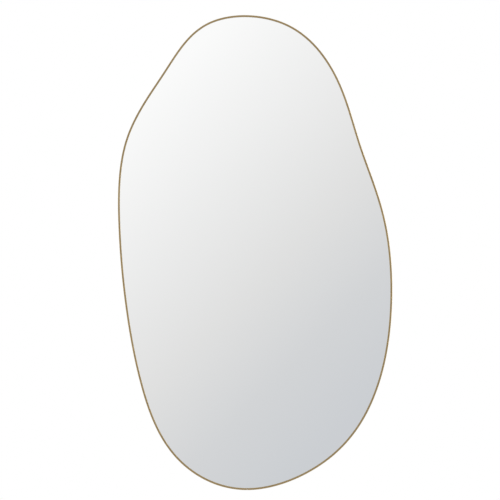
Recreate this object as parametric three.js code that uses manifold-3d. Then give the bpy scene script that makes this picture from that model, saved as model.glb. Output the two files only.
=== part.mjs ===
// A wall mirror with an irregular, pebble-shaped outline and a thin metal rim, in millimetres.
//
// The rim is one extruded bar bent round the whole outline. Its two ends butt together at the lowest point,
// where a splice bar in the rear channel holds them. The front chamber of the bar holds the glass, a foam
// sheet and the backing board, and bowed spring clips press that stack forward against the lip. The mirror
// hangs from two D-shaped rings that swing in straps on the board.
//
// Everything is drawn in drawing coordinates: x to the right and y upwards as seen from the front, and z out
// of the wall towards the viewer. The wall is z = 0, the plumb line through the middle of the glass is x = 0,
// and y = 0 is the height at which the wall hooks carry the raised rings. The last group stands the drawing
// up, so that +Z is up, the front looks along -Y and the wall is on the +Y side.

import * as THREE from 'three';
import { mergeVertices } from 'three/addons/utils/BufferGeometryUtils.js';
import Module from 'manifold-3d';

const wasm = await Module();
wasm.setup();

// ---------------------------------------------------------------- driving dimensions

const OUTSIDE_WIDTH = 520;
const OUTSIDE_HEIGHT = 900;

// Where the outside of the rim passes, counter-clockwise from its lowest point, measured from the lower left
// corner of the outline's box. The loop is stretched to the outside width and height above.
const OUTLINE_STATIONS = [
  [245, 0], // lowest point
  [403, 61], // right of the foot
  [490, 187], // right hip
  [519, 342], // widest place on the right
  [507, 509], // right flank
  [461, 651], // into the hollow waist
  [416, 781], // out of the hollow waist
  [319, 884], // right shoulder
  [173, 887], // left shoulder
  [85, 790], // down the nearly straight stretch on the left
  [14, 661], // left armpit
  [1, 500], // widest place on the left
  [14, 350], // left flank
  [43, 200], // left hip
  [108, 63], // left of the foot
];

// How finely round things are drawn.
const OUTLINE_STEPS = 144; // straight steps round the outline
const EDGE_STEPS = 3; // round the rim's front edge
const BOW_STEPS = 5; // along a bowed clip
const SPLICE_STEPS = 10;
const SET_SCREW_SIDES = 12;
const SCREW_SIDES = 16; // hanger screws and their holes
const SCREW_DOME_STEPS = 3;
const WIRE_SIDES = 8;
const WIRE_STEPS = 46;
const KNUCKLE_STEPS = 8;
const CORNER_STEPS = 4;
const BUMPER_SIDES = 20;

// The rim's section: a side wall with a front lip, a rib behind the glass chamber and a rear flange.
const WALL = 1.4;
const LIP_WIDTH = 3.5; // from the outside face: the bright line seen from the front
const LIP_THICKNESS = 1.4;
const LEG_WIDTH = 8; // rib and rear flange, from the outside face
const LEG_THICKNESS = 1.2;
const CHANNEL_WIDTH = 5.5; // between the rib and the rear flange
const RETURN_THICKNESS = 1; // the small returns on the legs, which keep the splice in the channel
const RETURN_HEIGHT = 1.2;
const FRONT_EDGE_RADIUS = 0.6;
const LIP_CHAMFER = 0.3;
const RIM_JOINT_GAP = 0.3;

// What the front chamber holds.
const GLASS_THICKNESS = 4;
const GLASS_ARRIS = 0.5; // small polished chamfer round both faces of the glass
const FOAM_THICKNESS = 1;
const BOARD_THICKNESS = 5;
const SPRING_SPACE = 2.8; // between the board and the rib
const GLASS_EDGE_CLEARANCE = 0.5;
const BOARD_EDGE_CLEARANCE = 0.8;
const FOAM_EDGE_CLEARANCE = 6;
const SEAT = 0.3; // gap between pieces that touch

const CLIP_COUNT = 8;
const CLIP_LENGTH = 46;
const CLIP_WIDTH = 10;
const CLIP_THICKNESS = 0.6;

const SPLICE_LENGTH = 70;
const SPLICE_THICKNESS = 3;
const SET_SCREW_DIAMETER = 3;
const SET_SCREW_END_MARGIN = 7; // from the end of the splice to the first set screw
const SET_SCREW_SPACING = 16; // between the two set screws on each side of the joint
const SOCKET_ACROSS_FLATS = 1.5;
const SOCKET_DEPTH = 2;

// The hangers.
const HOOK_BELOW_TOP = 230;
const HANGER_SPACING = 280;
const WIRE_DIAMETER = 2.8;
const RING_INNER_WIDTH = 20;
const RING_STRAIGHT = 4; // straight leg of the D between its bar and its round end
const RING_CORNER_RADIUS = 3;
const RING_JOINT_GAP = 0.4;
const STRAP_THICKNESS = 1; // one layer: the strap is folded double
const STRAP_SIDE_CLEARANCE = 1.4; // from the strap's edge to the ring's corner
const STRAP_END_RADIUS = 4;
const STRAP_END_MARGIN = 8; // from the last screw to the end of the strap
const KNUCKLE_CLEARANCE = 0.35;

const SCREW_DIAMETER = 3.5;
const SCREW_SPACING = 16;
const SCREW_POINT_COVER = 1.1; // board left in front of the point
const SCREW_HEAD_DIAMETER = 7;
const SCREW_HEAD_HEIGHT = 2.2;
const SCREW_HEAD_CLEARANCE = 3; // from the hanging ring to the first head
const SCREW_RECESS_WIDTH = 0.9;
const SCREW_RECESS_SPAN = 3.8;
const SCREW_RECESS_DEPTH = 1.2;

const BUMPER_HEIGHT = 1.7;
const BUMPER_MARGIN = 0.8; // between the bumper and the edges of the flange
const BUMPER_CHAMFER = 0.4;
const BUMPER_PLACES = { lower_right: 0.1, upper_right: 0.39, upper_left: 0.61, lower_left: 0.9 };

// ---------------------------------------------------------------- levels, from the wall to the front

const rimBack = BUMPER_HEIGHT + SEAT;
const flangeFront = rimBack + LEG_THICKNESS;
const ribBack = flangeFront + CHANNEL_WIDTH;
const ribFront = ribBack + LEG_THICKNESS;
const boardBack = ribFront + SPRING_SPACE;
const boardFront = boardBack + BOARD_THICKNESS;
const foamBack = boardFront + SEAT;
const foamFront = foamBack + FOAM_THICKNESS;
const glassBack = foamFront + SEAT;
const glassFront = glassBack + GLASS_THICKNESS;
const lipBack = glassFront + SEAT;
const rimFront = lipBack + LIP_THICKNESS;

// ---------------------------------------------------------------- materials

function finish(colour, roughness, metalness) {
  return new THREE.MeshStandardMaterial({ color: colour, roughness, metalness });
}

const champagneGold = () => finish(0xb79a68, 0.34, 1);
const silveredGlass = () => finish(0xe4e8ea, 0.03, 1);
const whiteFoam = () => finish(0xe9e8e3, 0.95, 0);
const brownFibreboard = () => finish(0x9a7650, 0.85, 0);
const springSteel = () => finish(0x7f8488, 0.35, 1);
const zincPlate = () => finish(0xc0c4c8, 0.3, 1);
const blackOxide = () => finish(0x2c2d2f, 0.5, 1);
const clearRubber = () => finish(0xd7dadb, 0.45, 0);

// ---------------------------------------------------------------- solids

// A geometry as a solid that can be joined and cut.
function toSolid(geometry) {
  const bare = geometry.clone();
  bare.deleteAttribute('normal');
  bare.deleteAttribute('uv');
  const merged = mergeVertices(bare);
  return new wasm.Manifold(
    new wasm.Mesh({
      numProp: 3,
      vertProperties: new Float32Array(merged.attributes.position.array),
      triVerts: new Uint32Array(merged.index.array),
    }),
  );
}

function toGeometry(solid) {
  const mesh = solid.getMesh();
  const geometry = new THREE.BufferGeometry();
  geometry.setAttribute('position', new THREE.BufferAttribute(mesh.vertProperties, 3));
  geometry.setIndex(new THREE.BufferAttribute(mesh.triVerts, 1));
  geometry.computeVertexNormals();
  return geometry;
}

function cut(geometry, tools) {
  const solid = tools.reduce((left, tool) => left.subtract(toSolid(tool)), toSolid(geometry));
  return toGeometry(solid);
}

function common(first, second) {
  return toGeometry(toSolid(first).intersect(toSolid(second)));
}

// A polygon of equal sides about the origin, as a shape.
function roundShape(radius, sides) {
  const corners = [];
  for (let i = 0; i < sides; i += 1) {
    const angle = (2 * Math.PI * i) / sides;
    corners.push(new THREE.Vector2(radius * Math.cos(angle), radius * Math.sin(angle)));
  }
  return new THREE.Shape(corners);
}

function plate(shape, thickness, curveSegments = 1) {
  return new THREE.ExtrudeGeometry(shape, { depth: thickness, bevelEnabled: false, curveSegments });
}

// A profile of [radius, height] corners turned about the y axis.
function turned(profile, sides) {
  return new THREE.LatheGeometry(profile.map(([radius, height]) => new THREE.Vector2(radius, height)), sides);
}

// ---------------------------------------------------------------- the outline

// A closed curve with no kink in its bend, which passes through every station.
class SmoothLoop extends THREE.Curve {
  constructor(stations) {
    super();
    this.arcLengthDivisions = 10 * OUTLINE_STEPS;
    this.controls = SmoothLoop.controlsThrough(stations);
  }

  // A cubic loop passes at (before + 4 control + after) / 6, so each pass moves a control towards the place
  // that makes its station true. The error halves every time.
  static controlsThrough(stations) {
    const passes = 50;
    const count = stations.length;
    let controls = stations.map((station) => station.clone());
    for (let pass = 0; pass < passes; pass += 1) {
      controls = stations.map((station, i) => {
        const before = controls[(i + count - 1) % count];
        const after = controls[(i + 1) % count];
        return station.clone().multiplyScalar(6).sub(before).sub(after).divideScalar(4);
      });
    }
    return controls;
  }

  getPoint(t, target = new THREE.Vector3()) {
    const count = this.controls.length;
    const along = (t - Math.floor(t)) * count;
    const first = Math.floor(along) % count;
    const f = along - Math.floor(along);
    const weights = [
      (1 - f) ** 3 / 6,
      (3 * f ** 3 - 6 * f ** 2 + 4) / 6,
      (-3 * f ** 3 + 3 * f ** 2 + 3 * f + 1) / 6,
      f ** 3 / 6,
    ];
    target.set(0, 0, 0);
    weights.forEach((weight, i) => {
      const control = this.controls[(first + i + count - 1) % count];
      target.x += weight * control.x;
      target.y += weight * control.y;
    });
    return target;
  }

  // The same curve with its box stretched to the width and height, and moved by the offset.
  fitTo(width, height, offset) {
    const box = new THREE.Box2().setFromPoints(this.getPoints(this.arcLengthDivisions));
    const size = box.getSize(new THREE.Vector2());
    this.controls = this.controls.map(
      (control) =>
        new THREE.Vector2(
          ((control.x - box.min.x) * width) / size.x + offset.x,
          ((control.y - box.min.y) * height) / size.y + offset.y,
        ),
    );
    this.updateArcLengths();
    return this;
  }
}

// The x of the middle of the area that a closed run of points goes round.
function middleOfArea(points) {
  let area = 0;
  let moment = 0;
  points.forEach((point, i) => {
    const next = points[(i + 1) % points.length];
    const cross = point.x * next.y - next.x * point.y;
    area += cross / 2;
    moment += (cross * (point.x + next.x)) / 6;
  });
  return moment / area;
}

const stations = OUTLINE_STATIONS.map(([x, y]) => new THREE.Vector2(x, y));
const outline = new SmoothLoop(stations).fitTo(OUTSIDE_WIDTH, OUTSIDE_HEIGHT, new THREE.Vector2(0, 0));
const plumbLine = middleOfArea(outline.getSpacedPoints(OUTLINE_STEPS));
outline.fitTo(
  OUTSIDE_WIDTH,
  OUTSIDE_HEIGHT,
  new THREE.Vector2(-plumbLine, HOOK_BELOW_TOP - OUTSIDE_HEIGHT),
);
const outlineLength = outline.getLength();

// A place on the outline, by its share of the way round from the lowest point. It is moved inwards by the
// inset, and its turn is the direction of the outline there: x then runs along the rim and y inwards.
function placeOnRim(share, inset) {
  const way = share - Math.floor(share);
  const along = outline.getTangentAt(way);
  const point = outline.getPointAt(way);
  point.x -= along.y * inset;
  point.y += along.x * inset;
  return { point, turn: Math.atan2(along.y, along.x) };
}

function insetShape(inset) {
  const corners = [];
  for (let i = 0; i < OUTLINE_STEPS; i += 1) {
    const { point } = placeOnRim(i / OUTLINE_STEPS, inset);
    corners.push(new THREE.Vector2(point.x, point.y));
  }
  return new THREE.Shape(corners);
}

// The part of the outline between two distances from the joint, at the level of the rim's front face.
class RimStretch extends THREE.Curve {
  constructor(from, to) {
    super();
    this.from = from;
    this.to = to;
  }

  getPoint(t, target = new THREE.Vector3()) {
    const distance = this.from + (this.to - this.from) * t;
    const { point } = placeOnRim(distance / outlineLength, 0);
    return target.set(point.x, point.y, rimFront);
  }
}

// A section swept along the rim. In the section, x is the depth behind the front face and y the distance
// inwards from the outside face.
function sweptOnRim(section, from, to, steps) {
  return new THREE.ExtrudeGeometry(section, {
    steps,
    extrudePath: new RimStretch(from, to),
    bevelEnabled: false,
    curveSegments: EDGE_STEPS,
  });
}

// ---------------------------------------------------------------- the parts

const mirror = new THREE.Group();

function add(name, geometry, material, position = new THREE.Vector3(), turn = 0) {
  const mesh = new THREE.Mesh(geometry, material);
  mesh.name = name;
  mesh.position.copy(position);
  mesh.rotation.z = turn;
  mirror.add(mesh);
  return mesh;
}

function rimSection() {
  const back = rimFront - rimBack;
  const ribFace = rimFront - ribFront;
  const channelFront = rimFront - ribBack;
  const channelBack = rimFront - flangeFront;
  const returnFace = LEG_WIDTH - RETURN_THICKNESS;
  const section = new THREE.Shape();
  section.moveTo(back, 0);
  section.lineTo(back, LEG_WIDTH);
  section.lineTo(channelBack - RETURN_HEIGHT, LEG_WIDTH);
  section.lineTo(channelBack - RETURN_HEIGHT, returnFace);
  section.lineTo(channelBack, returnFace);
  section.lineTo(channelBack, WALL);
  section.lineTo(channelFront, WALL);
  section.lineTo(channelFront, returnFace);
  section.lineTo(channelFront + RETURN_HEIGHT, returnFace);
  section.lineTo(channelFront + RETURN_HEIGHT, LEG_WIDTH);
  section.lineTo(ribFace, LEG_WIDTH);
  section.lineTo(ribFace, WALL);
  section.lineTo(LIP_THICKNESS, WALL);
  section.lineTo(LIP_THICKNESS, LIP_WIDTH);
  section.lineTo(LIP_CHAMFER, LIP_WIDTH);
  section.lineTo(0, LIP_WIDTH - LIP_CHAMFER);
  section.lineTo(0, FRONT_EDGE_RADIUS);
  section.absarc(FRONT_EDGE_RADIUS, FRONT_EDGE_RADIUS, FRONT_EDGE_RADIUS, Math.PI, 1.5 * Math.PI, false);
  return section;
}

function addRim() {
  const halfGap = RIM_JOINT_GAP / 2;
  add('rim', sweptOnRim(rimSection(), halfGap, outlineLength - halfGap, OUTLINE_STEPS), champagneGold());
}

// The splice lies against the returns of the channel, and its set screws bear on the side wall.
function addSplice() {
  const inner = LEG_WIDTH - RETURN_THICKNESS - SEAT;
  const outer = inner - SPLICE_THICKNESS;
  const front = rimFront - ribBack + SEAT;
  const back = rimFront - flangeFront - SEAT;
  const section = new THREE.Shape();
  section.moveTo(front, outer);
  section.lineTo(back, outer);
  section.lineTo(back, inner);
  section.lineTo(front, inner);

  const radius = SET_SCREW_DIAMETER / 2;
  const tip = WALL + SEAT;
  const length = inner - tip;
  const tipTaper = radius / 2;
  const level = (flangeFront + ribBack) / 2;
  const outerOffset = SPLICE_LENGTH / 2 - SET_SCREW_END_MARGIN;
  const innerOffset = outerOffset - SET_SCREW_SPACING;
  const places = [-outerOffset, -innerOffset, innerOffset, outerOffset].map((offset) => {
    const { point, turn } = placeOnRim(offset / outlineLength, tip);
    return { position: point.setZ(level), turn };
  });

  const throughBar = 2 * (inner + SEAT);
  const holes = places.map(({ position, turn }) => {
    const hole = new THREE.CylinderGeometry(radius + SEAT, radius + SEAT, throughBar, SET_SCREW_SIDES);
    return hole.rotateZ(turn).translate(position.x, position.y, position.z);
  });
  const bar = sweptOnRim(section, -SPLICE_LENGTH / 2, SPLICE_LENGTH / 2, SPLICE_STEPS);
  add('rim_splice', cut(bar, holes), zincPlate());

  const flats = 6;
  const socketRadius = SOCKET_ACROSS_FLATS / 2 / Math.cos(Math.PI / flats);
  const socket = new THREE.CylinderGeometry(socketRadius, socketRadius, 2 * SOCKET_DEPTH, flats);
  socket.translate(0, length, 0);
  const profile = [[0, 0], [radius - tipTaper, 0], [radius, tipTaper], [radius, length], [0, length]];
  const screw = cut(turned(profile, SET_SCREW_SIDES), [socket]);
  places.forEach(({ position, turn }, i) => {
    add(`splice_screw_${i + 1}`, screw.clone(), blackOxide(), position, turn);
  });
}

function addGlass() {
  const geometry = new THREE.ExtrudeGeometry(insetShape(WALL + GLASS_EDGE_CLEARANCE), {
    depth: GLASS_THICKNESS - 2 * GLASS_ARRIS,
    bevelEnabled: true,
    bevelThickness: GLASS_ARRIS,
    bevelSize: GLASS_ARRIS,
    bevelOffset: -GLASS_ARRIS,
    bevelSegments: 1,
  });
  add('mirror_glass', geometry, silveredGlass(), new THREE.Vector3(0, 0, glassBack + GLASS_ARRIS));
}

function addFoam() {
  const geometry = plate(insetShape(WALL + FOAM_EDGE_CLEARANCE), FOAM_THICKNESS);
  add('foam_sheet', geometry, whiteFoam(), new THREE.Vector3(0, 0, foamBack));
}

// The strip bows towards the board and its ends bear on the rib. It is straight along the rim, so that where
// the outline bulges it starts further in by the height of the bulge.
function addSpringClips() {
  const rise = SPRING_SPACE - 2 * SEAT - CLIP_THICKNESS;
  const half = CLIP_LENGTH / 2;
  const radius = (half ** 2 + rise ** 2) / (2 * rise);
  const reach = Math.asin(half / radius);
  const upright = Math.PI / 2;
  const bow = new THREE.Shape();
  bow.absarc(0, rise - radius, radius + CLIP_THICKNESS, upright - reach, upright + reach, false);
  bow.absarc(0, rise - radius, radius, upright + reach, upright - reach, true);
  const strip = plate(bow, CLIP_WIDTH, BOW_STEPS).rotateX(Math.PI / 2).translate(0, CLIP_WIDTH, 0);

  for (let i = 0; i < CLIP_COUNT; i += 1) {
    const share = (i + 0.5) / CLIP_COUNT;
    const middle = placeOnRim(share, 0);
    const inwards = new THREE.Vector3(-Math.sin(middle.turn), Math.cos(middle.turn), 0);
    const ends = [-half, half].map((offset) => placeOnRim(share + offset / outlineLength, 0).point);
    const bulge = Math.max(...ends.map((end) => end.sub(middle.point).dot(inwards)), 0);
    const { point, turn } = placeOnRim(share, WALL + GLASS_EDGE_CLEARANCE + bulge);
    add(`spring_clip_${i + 1}`, strip.clone(), springSteel(), point.setZ(ribFront + SEAT), turn);
  }
}

// ---------------------------------------------------------------- the hangers

const wireRadius = WIRE_DIAMETER / 2;
const ringHalfWidth = RING_INNER_WIDTH / 2 + wireRadius;
const ringDrop = RING_STRAIGHT + ringHalfWidth; // from the bar's centre line to that of the round end
const knuckleRadius = wireRadius + KNUCKLE_CLEARANCE + STRAP_THICKNESS;
const strapWidth = 2 * (ringHalfWidth - RING_CORNER_RADIUS - STRAP_SIDE_CLEARANCE);
const strapDepth = 2 * STRAP_THICKNESS;
const firstScrew = ringDrop + wireRadius + SCREW_HEAD_CLEARANCE + SCREW_HEAD_DIAMETER / 2;
const screwDrops = [firstScrew, firstScrew + SCREW_SPACING]; // below the ring's bar
const strapLength = firstScrew + SCREW_SPACING + STRAP_END_MARGIN;
const strapLevel = boardBack - SEAT;
const pivotLevel = strapLevel - knuckleRadius;
const pivotHeight = wireRadius - ringDrop; // so that a raised ring bears on its hook at y = 0
const headLevel = strapLevel - strapDepth - SEAT;
const screwLength = boardFront - SCREW_POINT_COVER - headLevel; // under the head
const hangerPlaces = { left: -HANGER_SPACING / 2, right: HANGER_SPACING / 2 };

// The ring's wire as a flat path: from the middle of the bar round the D, and back to the bar's other half.
class RingWire extends THREE.Curve {
  constructor() {
    super();
    const corner = RING_CORNER_RADIUS;
    const half = ringHalfWidth;
    this.path = new THREE.Path();
    this.path.moveTo(RING_JOINT_GAP / 2, 0);
    this.path.lineTo(half - corner, 0);
    this.path.absarc(half - corner, -corner, corner, Math.PI / 2, 0, true);
    this.path.lineTo(half, -RING_STRAIGHT);
    this.path.absarc(0, -RING_STRAIGHT, half, 0, -Math.PI, true);
    this.path.lineTo(-half, -corner);
    this.path.absarc(corner - half, -corner, corner, Math.PI, Math.PI / 2, true);
    this.path.lineTo(-RING_JOINT_GAP / 2, 0);
  }

  getPoint(t, target = new THREE.Vector3()) {
    const point = this.path.getPoint(t);
    return target.set(point.x, point.y, 0);
  }
}

// Hanging down, the ring leans out by the angle at which its round end clears the strap.
function addHangerRings() {
  const wire = new THREE.ExtrudeGeometry(roundShape(wireRadius, WIRE_SIDES), {
    steps: WIRE_STEPS,
    extrudePath: new RingWire(),
    bevelEnabled: false,
  });
  const crossing = RING_STRAIGHT + Math.sqrt(ringHalfWidth ** 2 - (strapWidth / 2) ** 2) - wireRadius;
  const lean = Math.asin((strapDepth + SEAT + wireRadius - knuckleRadius) / crossing);
  for (const [side, x] of Object.entries(hangerPlaces)) {
    const place = new THREE.Vector3(x, pivotHeight, pivotLevel);
    const ring = add(`hanger_ring_${side}`, wire.clone(), zincPlate(), place);
    ring.rotation.x = lean;
  }
}

// The strap's side view: two layers that lie flat on the board and part round the ring's bar. In it, x runs
// down the board from the bar and y away from the board.
function strapGeometry() {
  const foldStart = Math.sqrt(knuckleRadius ** 2 - (knuckleRadius - strapDepth) ** 2);
  const foldAngle = Math.atan2(strapDepth - knuckleRadius, foldStart);
  const side = new THREE.Shape();
  side.moveTo(strapLength, 0);
  side.lineTo(strapLength, strapDepth);
  side.lineTo(foldStart, strapDepth);
  side.absarc(0, knuckleRadius, knuckleRadius, foldAngle, 1.5 * Math.PI, false);
  const bore = new THREE.Path();
  bore.absarc(0, knuckleRadius, knuckleRadius - STRAP_THICKNESS, 0, 2 * Math.PI, true);
  side.holes.push(bore);
  const downBoard = new THREE.Vector3(0, -1, 0);
  const offBoard = new THREE.Vector3(0, 0, -1);
  const across = new THREE.Vector3(1, 0, 0);
  const half = strapWidth / 2;
  const folded = plate(side, strapWidth, KNUCKLE_STEPS)
    .translate(0, 0, -half)
    .applyMatrix4(new THREE.Matrix4().makeBasis(downBoard, offBoard, across));

  // The front view trims the lower corners round and has the screw holes. It is wider and deeper than the
  // folded strap everywhere else.
  const wide = half + SEAT;
  const top = knuckleRadius + SEAT;
  const cornerHeight = STRAP_END_RADIUS - strapLength;
  const front = new THREE.Shape();
  front.moveTo(wide, top);
  front.lineTo(-wide, top);
  front.lineTo(-wide, cornerHeight);
  front.lineTo(-half, cornerHeight);
  front.absarc(STRAP_END_RADIUS - half, cornerHeight, STRAP_END_RADIUS, Math.PI, 1.5 * Math.PI, false);
  front.absarc(half - STRAP_END_RADIUS, cornerHeight, STRAP_END_RADIUS, 1.5 * Math.PI, 2 * Math.PI, false);
  front.lineTo(wide, cornerHeight);
  for (const drop of screwDrops) {
    const hole = new THREE.Path();
    hole.absarc(0, -drop, SCREW_DIAMETER / 2 + SEAT, 0, 2 * Math.PI, true);
    front.holes.push(hole);
  }
  const deep = 2 * (knuckleRadius + SEAT);
  const blank = plate(front, deep, CORNER_STEPS).translate(0, 0, SEAT - deep);
  return common(folded, blank);
}

// A pan-head screw with a cross recess. Its head is towards the wall and its point in the board.
function hangerScrewGeometry() {
  const radius = SCREW_DIAMETER / 2;
  const crown = new THREE.Vector2(0, -SCREW_HEAD_HEIGHT);
  const shoulder = new THREE.Vector2(SCREW_HEAD_DIAMETER / 2, -SCREW_HEAD_HEIGHT);
  const brim = new THREE.Vector2(SCREW_HEAD_DIAMETER / 2, 0);
  const dome = new THREE.QuadraticBezierCurve(crown, shoulder, brim).getPoints(SCREW_DOME_STEPS);
  const profile = [
    ...dome.map((point) => point.toArray()),
    [radius, 0],
    [radius, screwLength - radius],
    [0, screwLength],
  ];
  const slots = [0, Math.PI / 2].map((turn) =>
    new THREE.BoxGeometry(SCREW_RECESS_SPAN, 2 * SCREW_RECESS_DEPTH, SCREW_RECESS_WIDTH)
      .rotateY(turn)
      .translate(0, -SCREW_HEAD_HEIGHT, 0),
  );
  return cut(turned(profile, SCREW_SIDES), slots).rotateX(Math.PI / 2);
}

function addHangerStraps() {
  const strap = strapGeometry();
  const screw = hangerScrewGeometry();
  for (const [side, x] of Object.entries(hangerPlaces)) {
    const place = new THREE.Vector3(x, pivotHeight, strapLevel);
    add(`hanger_strap_${side}`, strap.clone(), zincPlate(), place);
    screwDrops.forEach((drop, i) => {
      const screwPlace = new THREE.Vector3(x, pivotHeight - drop, headLevel);
      add(`hanger_screw_${side}_${i + 1}`, screw.clone(), zincPlate(), screwPlace);
    });
  }
}

// The board has a blind hole for each hanger screw, drilled from the back.
function addBoard() {
  const board = plate(insetShape(WALL + BOARD_EDGE_CLEARANCE), BOARD_THICKNESS);
  const radius = SCREW_DIAMETER / 2 + SEAT;
  const depth = headLevel + screwLength + SEAT - boardBack;
  const holes = Object.values(hangerPlaces).flatMap((x) =>
    screwDrops.map((drop) =>
      new THREE.CylinderGeometry(radius, radius, 2 * depth, SCREW_SIDES)
        .rotateX(Math.PI / 2)
        .translate(x, pivotHeight - drop, 0),
    ),
  );
  add('backing_board', cut(board, holes), brownFibreboard(), new THREE.Vector3(0, 0, boardBack));
}

function addBumpers() {
  const radius = LEG_WIDTH / 2 - BUMPER_MARGIN;
  const profile = [
    [0, 0],
    [radius - BUMPER_CHAMFER, 0],
    [radius, BUMPER_CHAMFER],
    [radius, BUMPER_HEIGHT],
    [0, BUMPER_HEIGHT],
  ];
  const bumper = turned(profile, BUMPER_SIDES).rotateX(Math.PI / 2);
  for (const [place, share] of Object.entries(BUMPER_PLACES)) {
    add(`wall_bumper_${place}`, bumper.clone(), clearRubber(), placeOnRim(share, LEG_WIDTH / 2).point);
  }
}

addRim();
addSplice();
addGlass();
addFoam();
addBoard();
addSpringClips();
addHangerStraps();
addHangerRings();
addBumpers();

const standing = new THREE.Group();
standing.rotation.x = Math.PI / 2;
standing.add(mirror);

export default standing;
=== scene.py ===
"""The look of a pebble-shaped wall mirror with a thin champagne-gold rim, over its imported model.

Lengths are in metres. Pieces are modelled in drawing coordinates, x to the right and y upwards as seen from
the front and z out of the wall towards the viewer. They are then stood up: +Z is up and the front looks
along -Y.
"""

import bisect
import logging
import math
from dataclasses import dataclass, field
from enum import Enum
from typing import Callable, Mapping, Optional, Sequence, Union

import bmesh
import bpy
from mathutils import Matrix, Vector


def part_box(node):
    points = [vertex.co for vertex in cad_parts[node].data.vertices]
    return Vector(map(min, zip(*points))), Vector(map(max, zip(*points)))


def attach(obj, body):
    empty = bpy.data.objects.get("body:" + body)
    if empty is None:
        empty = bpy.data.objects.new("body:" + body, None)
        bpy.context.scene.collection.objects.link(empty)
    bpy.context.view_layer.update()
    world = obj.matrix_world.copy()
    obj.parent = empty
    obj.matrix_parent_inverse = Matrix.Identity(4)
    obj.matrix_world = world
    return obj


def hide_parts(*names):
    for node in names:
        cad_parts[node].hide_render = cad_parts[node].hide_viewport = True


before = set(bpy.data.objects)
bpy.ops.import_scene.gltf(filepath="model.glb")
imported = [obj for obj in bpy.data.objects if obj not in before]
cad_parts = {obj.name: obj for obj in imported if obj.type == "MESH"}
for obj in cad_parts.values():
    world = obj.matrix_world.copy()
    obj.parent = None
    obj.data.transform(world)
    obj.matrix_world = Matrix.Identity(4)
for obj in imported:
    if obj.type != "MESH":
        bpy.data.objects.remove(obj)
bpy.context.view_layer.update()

log = logging.getLogger("mirror")

MM = 0.001
QUARTER = math.pi / 2  # of a turn
ROUND_SIDES = 40  # of a screw or a small hole
PARALLEL = 0.999  # the cosine from which an edge runs along an axis
FACING = 0.9  # the cosine from which a face looks one way
GLASS_INDEX = 1.52
OWN_PLACE = "own_place"  # the attribute with each corner's place before the piece is bent or placed

Triple = tuple[float, float, float]
Colour = tuple[float, float, float, float]


def paint(red: float, green: float, blue: float) -> Colour:
    """A colour as a screen shows it, made linear for the shaders.

    Args:
        red: Red from 0 to 1.
        green: Green from 0 to 1.
        blue: Blue from 0 to 1.

    Returns:
        The linear colour with full alpha.
    """

    def linear(value: float) -> float:
        """One channel, made linear."""
        return value / 12.92 if value <= 0.04045 else ((value + 0.055) / 1.055) ** 2.4

    return (linear(red), linear(green), linear(blue), 1.0)


# ---------------- shader tools


def math_method(operation: str, reflected: bool = False) -> Callable[["Signal", "Value"], "Signal"]:
    """Makes an operator of Signal that adds a Math node.

    Args:
        operation: What the node does.
        reflected: Whether the other value comes first.

    Returns:
        The method.
    """

    def method(self: "Signal", other: "Value") -> "Signal":
        """Adds the node."""
        values = (other, self) if reflected else (self, other)
        return self.bench.node("ShaderNodeMath", {"operation": operation}, dict(enumerate(values)))

    return method


@dataclass(frozen=True)
class Signal:
    """The output of a shader node. Arithmetic on signals adds Math nodes."""

    bench: "ShaderBench"
    socket: bpy.types.NodeSocket

    __add__, __radd__ = math_method("ADD"), math_method("ADD", True)
    __sub__, __rsub__ = math_method("SUBTRACT"), math_method("SUBTRACT", True)
    __mul__, __rmul__ = math_method("MULTIPLY"), math_method("MULTIPLY", True)
    __truediv__, __rtruediv__ = math_method("DIVIDE"), math_method("DIVIDE", True)

    def output(self, name: str) -> "Signal":
        """Another output of the same node."""
        return Signal(self.bench, self.socket.node.outputs[name])


Value = Union[float, Signal]
Sockets = Mapping[Union[int, str], object]


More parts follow.
